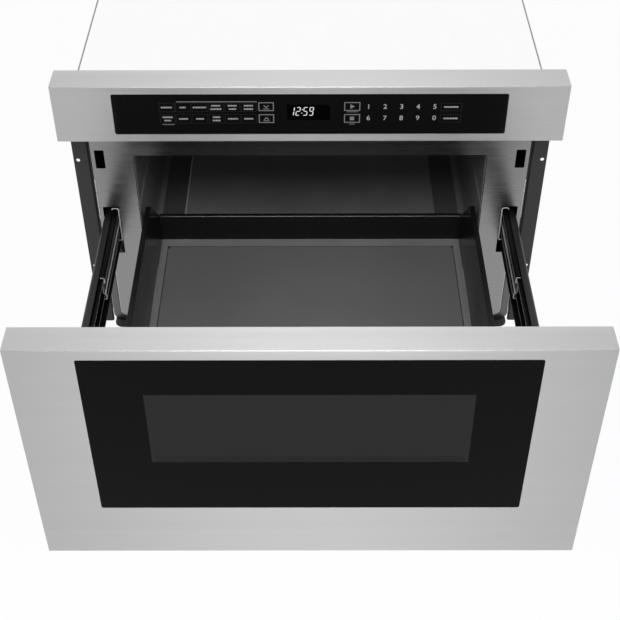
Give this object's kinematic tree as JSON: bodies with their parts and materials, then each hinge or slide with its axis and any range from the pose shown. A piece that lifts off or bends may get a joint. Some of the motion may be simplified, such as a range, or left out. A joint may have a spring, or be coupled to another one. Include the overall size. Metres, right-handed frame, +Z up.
{
  "type": "microwave drawer",
  "caption": "Built-in microwave oven with a sliding drawer: flat control panel above a windowed front that carries the cooking pan on telescopic slides.",
  "frame": {"origin": "centre of the underside of the chassis, on the surface that the appliance rests on", "axes": "+X to the right as seen from the front, +Y towards the back, +Z up; the drawer opens along -Y"},
  "size_m": [0.6064, 0.9493, 0.401],
  "materials": {
    "fascia_steel": "fine horizontal brush, clear coated",
    "black_glass": "back-painted black, polished",
    "frame_steel": "plain stainless sheet, satin",
    "flange_steel": "dark grey coated sheet",
    "zinc_steel": "zinc-coated sheet",
    "cavity_enamel": "dark grey fired enamel, fine texture",
    "pan_enamel": "near-black fired enamel",
    "ceramic": "matt glass ceramic with a fine dot screen",
    "cover_ceramic": "matt grey ceramic",
    "slide_black": "black phosphated steel, oiled",
    "slide_steel": "bright cold-rolled strip",
    "ball_steel": "polished balls in a plain strip",
    "black_plastic": "moulded, fine grain",
    "acetal": "natural moulding",
    "board_green": "lacquered circuit board",
    "copper_wire": "enamelled winding wire",
    "core_iron": "stacked laminations, varnished",
    "aluminium_can": "drawn, bright",
    "lamp_glass": "frosted bulb in a white holder",
    "rubber_black": "moulded",
    "screen_metal": "perforated steel, black"
  },
  "bodies": {
    "root": {"base_plate": "zinc_steel", "back_panel": "zinc_steel", "top_cover": "zinc_steel", "side_panel_left": "flange_steel", "side_panel_right": "flange_steel", "front_frame": "frame_steel", "cord_bushing": "rubber_black", "cavity_floor": "cavity_enamel", "cavity_wall_left": "cavity_enamel", "cavity_wall_right": "cavity_enamel", "cavity_ceiling": "cavity_enamel", "rear_bulkhead": "cavity_enamel", "stirrer_cover": "cover_ceramic", "stirrer_motor": "zinc_steel", "waveguide": "zinc_steel", "magnetron": "aluminium_can", "transformer_core": "core_iron", "transformer_coils": "copper_wire", "capacitor": "aluminium_can", "fan_bracket": "zinc_steel", "fan_motor": "core_iron", "oven_lamp": "lamp_glass", "power_board": "board_green", "control_housing": "fascia_steel", "control_glass": "black_glass", "control_frame": "black_plastic", "control_board": "board_green", "slide_brackets": "zinc_steel", "slide_cabinet_left": "slide_black", "slide_cabinet_right": "slide_black", "gearbox": "black_plastic", "drive_motor": "zinc_steel", "switch_brackets": "zinc_steel", "door_switches": "black_plastic", "case_screws": "slide_steel"},
    "drawer": {"drawer_front": "fascia_steel", "door_glass": "black_glass", "door_core": "black_plastic", "window_screen": "screen_metal", "door_panel": "pan_enamel", "choke_cover": "black_plastic", "pan": "pan_enamel", "floor_plate": "ceramic", "drawer_beam_left": "slide_black", "drawer_beam_right": "slide_black", "slide_drawer_left": "slide_steel", "slide_drawer_right": "slide_steel", "drive_rack": "acetal", "latch_hook_left": "zinc_steel", "latch_hook_right": "zinc_steel", "drawer_screws": "slide_steel"},
    "slide_middle_left": {"slide_middle_left": "slide_black"},
    "slide_middle_right": {"slide_middle_right": "slide_black"},
    "ball_cage_outer_left": {"ball_cage_outer_left": "ball_steel"},
    "ball_cage_outer_right": {"ball_cage_outer_right": "ball_steel"},
    "ball_cage_inner_left": {"ball_cage_inner_left": "ball_steel"},
    "ball_cage_inner_right": {"ball_cage_inner_right": "ball_steel"},
    "drive_pinion": {"drive_pinion": "acetal"},
    "fan_rotor": {"fan_rotor": "black_plastic"},
    "stirrer": {"stirrer": "aluminium_can"}
  },
  "joints": [
    {"name": "drawer_slide", "type": "slide", "parent": "root", "child": "drawer", "axis": [0, -1, 0], "range_m": [-0.3587, 0]},
    {"name": "middle_slide_left", "type": "slide", "parent": "root", "child": "slide_middle_left", "axis": [0, -1, 0], "range_m": [-0.18, 0]},
    {"name": "outer_cage_left", "type": "slide", "parent": "root", "child": "ball_cage_outer_left", "axis": [0, -1, 0], "range_m": [-0.09, 0]},
    {"name": "inner_cage_left", "type": "slide", "parent": "root", "child": "ball_cage_inner_left", "axis": [0, -1, 0], "range_m": [-0.27, 0]},
    {"name": "middle_slide_right", "type": "slide", "parent": "root", "child": "slide_middle_right", "axis": [0, -1, 0], "range_m": [-0.18, 0]},
    {"name": "outer_cage_right", "type": "slide", "parent": "root", "child": "ball_cage_outer_right", "axis": [0, -1, 0], "range_m": [-0.09, 0]},
    {"name": "inner_cage_right", "type": "slide", "parent": "root", "child": "ball_cage_inner_right", "axis": [0, -1, 0], "range_m": [-0.27, 0]},
    {"name": "pinion_spin", "type": "hinge", "parent": "root", "child": "drive_pinion", "pos_m": [-0.26, -0.2427, 0.11342], "axis": [1, 0, 0], "range_deg": [-1475, 5]},
    {"name": "fan_spin", "type": "hinge", "parent": "root", "child": "fan_rotor", "pos_m": [0.092, 0.21, 0.084], "axis": [1, 0, 0], "continuous": true},
    {"name": "stirrer_spin", "type": "hinge", "parent": "root", "child": "stirrer", "pos_m": [0, -0.0657, 0.086], "axis": [0, 0, 1], "continuous": true}
  ],
  "couplings": [
    {"joint": "middle_slide_left", "follows": "drawer_slide", "ratio": 0.5},
    {"joint": "outer_cage_left", "follows": "drawer_slide", "ratio": 0.25},
    {"joint": "inner_cage_left", "follows": "drawer_slide", "ratio": 0.75},
    {"joint": "middle_slide_right", "follows": "drawer_slide", "ratio": 0.5},
    {"joint": "outer_cage_right", "follows": "drawer_slide", "ratio": 0.25},
    {"joint": "inner_cage_right", "follows": "drawer_slide", "ratio": 0.75},
    {"joint": "pinion_spin", "follows": "drawer_slide", "rad_per_m": 71.429}
  ]
}
